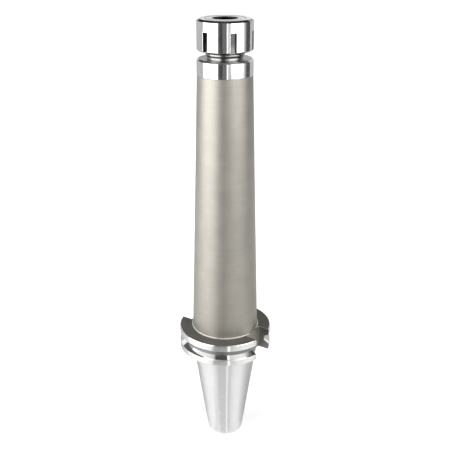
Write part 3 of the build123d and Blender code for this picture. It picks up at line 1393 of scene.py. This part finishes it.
# %% Zones by distance from the holder
ring_start, ring_full = 0.158, 0.176
far_start, far_full = 0.270, 0.310
foot_clear, foot_full = 0.011, 0.016
distance = node(tree, "ShaderNodeVectorMath", operation="LENGTH")
tree.links.new(ground.outputs["Object"], distance.inputs[0])


def step_out(tree, start, stop):
    change = node(tree, "ShaderNodeMapRange", interpolation_type="SMOOTHSTEP")
    change.inputs["From Min"].default_value = start
    change.inputs["From Max"].default_value = stop
    tree.links.new(distance.outputs["Value"], change.inputs["Value"])
    return change.outputs[0]


def blend_out(tree, inner, outer, start, stop):
    shade = node(tree, "ShaderNodeMix", data_type="RGBA")
    tree.links.new(step_out(tree, start, stop), shade.inputs["Factor"])
    tree.links.new(inner, shade.inputs["A"])
    tree.links.new(outer, shade.inputs["B"])
    return shade.outputs["Result"]


inner_zones = blend_out(tree, near, ring_zone, ring_start, ring_full)
zones = blend_out(tree, inner_zones, far, far_start, far_full)
glow = node(tree, "ShaderNodeEmission")
tree.links.new(zones, glow.inputs["Color"])
glow.inputs["Strength"].default_value = paper_peak
clear = node(tree, "ShaderNodeBsdfTransparent")
blend = node(tree, "ShaderNodeMixShader")
tree.links.new(step_out(tree, foot_clear, foot_full), blend.inputs[0])
tree.links.new(clear.outputs[0], blend.inputs[1])
tree.links.new(glow.outputs[0], blend.inputs[2])
tree.links.new(blend.outputs[0], tree.nodes["Material Output"].inputs["Surface"])
reflector.data.materials.append(paper)
reflector.visible_camera = False
reflector.visible_diffuse = False
reflector.visible_shadow = False
print("zones change at", ring_start, "and", far_start)

# %% [markdown]
# ## Top light, floor and world
# A long strip overhead lights the level faces. The floor is white paper that only catches the
# shadow, and it glows a little for the camera and for reflections, more behind the holder than in
# front, so the picture's ground stays pale. The world is white where the camera looks, and for
# reflections it is a tent: pale low down, dark higher up, and grey again right overhead.

# %% Top light
top_length = 1.2
top_width = 0.22
top_height = 1.2
top_radiance = 1.0
top_set_back = 0.01
top_data = bpy.data.lights.new("top_light", "AREA")
top_data.shape = "RECTANGLE"
top_data.size = top_length
top_data.size_y = top_width
top_data.energy = top_radiance * math.pi * top_length * top_width
top_light = bpy.data.objects.new("top_light", top_data)
top_light.location = bearing_point(180, top_set_back, top_height)[0]
top_light.rotation_euler = (0, 0, math.radians(camera_bearing))
top_light.visible_camera = False
bpy.context.scene.collection.objects.link(top_light)
print("top light power", round(top_data.energy, 2))

# %% Floor
floor_width = 12
glow_in_front = 0.40
glow_behind = 0.9
glow_reach = 0.6
nothing()
bpy.ops.mesh.primitive_plane_add(size=floor_width, location=(0, 0, floor_z))
floor = named("floor")
floor_white = bpy.data.materials.new("floor_white")
floor_white.use_nodes = True
tree = floor_white.node_tree
cloth = tree.nodes["Principled BSDF"]
cloth.inputs["Base Color"].default_value = (0.86, 0.86, 0.86, 1)
cloth.inputs["Roughness"].default_value = 0.9
cloth.inputs["Emission Color"].default_value = (1, 1, 1, 1)
path = node(tree, "ShaderNodeLightPath")
seen = maths(tree, "MAXIMUM", path.outputs["Is Camera Ray"], path.outputs["Is Glossy Ray"])
seen = maths(tree, "MAXIMUM", seen, path.outputs["Is Transmission Ray"])
ground = node(tree, "ShaderNodeTexCoord")
behind = node(tree, "ShaderNodeVectorMath", operation="DOT_PRODUCT")
tree.links.new(ground.outputs["Object"], behind.inputs[0])
away_from_camera = math.radians(camera_bearing)
behind.inputs[1].default_value = (-math.sin(away_from_camera), math.cos(away_from_camera), 0)
fade = node(tree, "ShaderNodeMapRange")
fade.inputs["From Min"].default_value = 0.0
fade.inputs["From Max"].default_value = glow_reach
fade.inputs["To Min"].default_value = glow_in_front
fade.inputs["To Max"].default_value = glow_behind
tree.links.new(behind.outputs["Value"], fade.inputs["Value"])
tree.links.new(maths(tree, "MULTIPLY", seen, fade.outputs[0]), cloth.inputs["Emission Strength"])
floor.data.materials.append(floor_white)
print("floor", floor_width, "m wide")

# %% World
sky_foot = 0.8
sky_bands = ((0.24, 0.8), (0.34, 0.1), (0.975, 0.1), (0.988, 0.25), (1.0, 0.25))
world = bpy.data.worlds.new("tent")
bpy.context.scene.world = world
world.use_nodes = True
tree = world.node_tree
sky = tree.nodes["Background"]
facing = node(tree, "ShaderNodeTexCoord")
upright = node(tree, "ShaderNodeSeparateXYZ")
tree.links.new(facing.outputs["Generated"], upright.inputs[0])
bands = node(tree, "ShaderNodeValToRGB")
bands.color_ramp.elements[0].position = 0.0
bands.color_ramp.elements[0].color = (sky_foot, sky_foot, sky_foot, 1)
bands.color_ramp.elements[1].position, top_grey = sky_bands[-1]
bands.color_ramp.elements[1].color = (top_grey, top_grey, top_grey, 1)
for height, grey in sky_bands[:-1]:
    band = bands.color_ramp.elements.new(height)
    band.color = (grey, grey, grey, 1)
tree.links.new(upright.outputs[2], bands.inputs[0])
tree.links.new(bands.outputs[0], sky.inputs["Color"])
white = node(tree, "ShaderNodeBackground")
white.inputs["Color"].default_value = (1, 1, 1, 1)
path = node(tree, "ShaderNodeLightPath")
choose = node(tree, "ShaderNodeMixShader")
tree.links.new(path.outputs["Is Camera Ray"], choose.inputs[0])
tree.links.new(sky.outputs[0], choose.inputs[1])
tree.links.new(white.outputs[0], choose.inputs[2])
tree.links.new(choose.outputs[0], tree.nodes["World Output"].inputs["Surface"])
bpy.context.scene.view_settings.view_transform = "Standard"
print("world bands", len(sky_bands))
